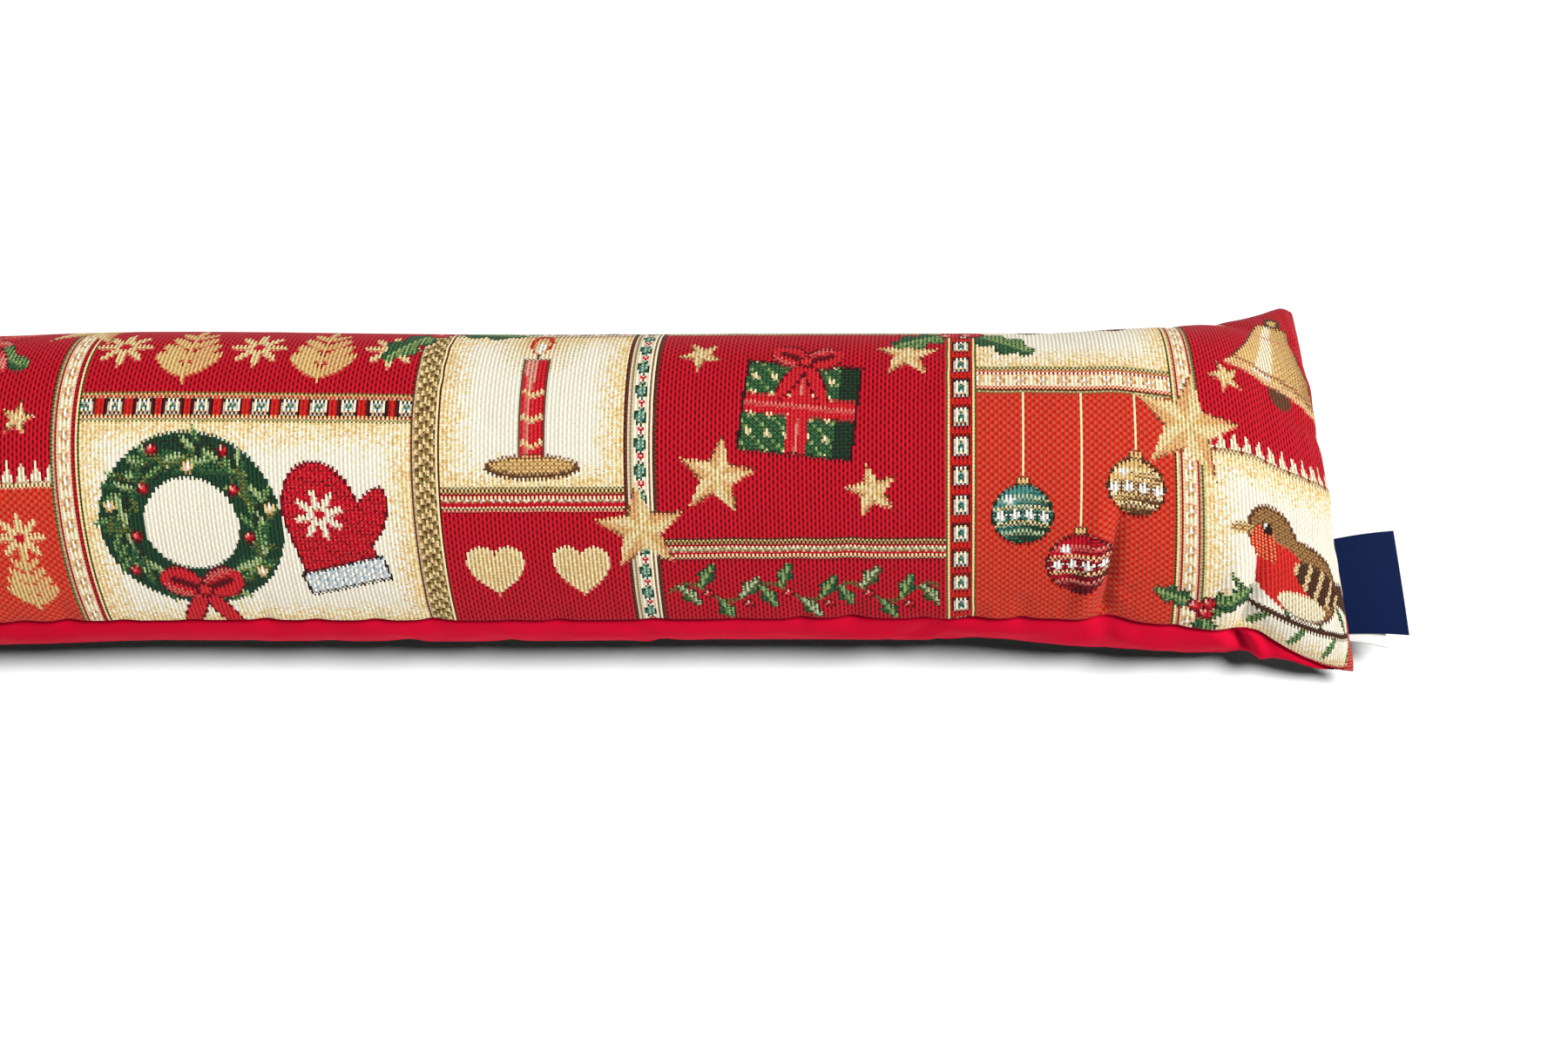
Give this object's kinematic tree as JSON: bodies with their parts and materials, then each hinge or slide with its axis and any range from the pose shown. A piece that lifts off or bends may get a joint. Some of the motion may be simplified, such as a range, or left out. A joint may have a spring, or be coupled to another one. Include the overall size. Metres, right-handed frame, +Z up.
{
  "type": "draught excluder",
  "caption": "Long filled cloth cushion with a woven front, plain back and labels in one end seam; it lies along the foot of a door.",
  "frame": {"origin": "middle of the flat underside, on the floor", "axes": "+X along the length towards the labelled end, +Y from the front seam to the back seam, +Z up"},
  "size_m": [0.8925, 0.1621, 0.1234],
  "materials": {
    "tapestry": "woven jacquard, matt, ribbed",
    "back_cloth": "smooth plain weave with a soft sheen",
    "navy_ribbon": "fine woven ribbon",
    "white_ribbon": "smooth satin ribbon"
  },
  "bodies": {
    "root": {"cushion_body": "back_cloth", "tapestry_front": "tapestry", "navy_label": "navy_ribbon", "care_label": "white_ribbon"}
  },
  "joints": []
}
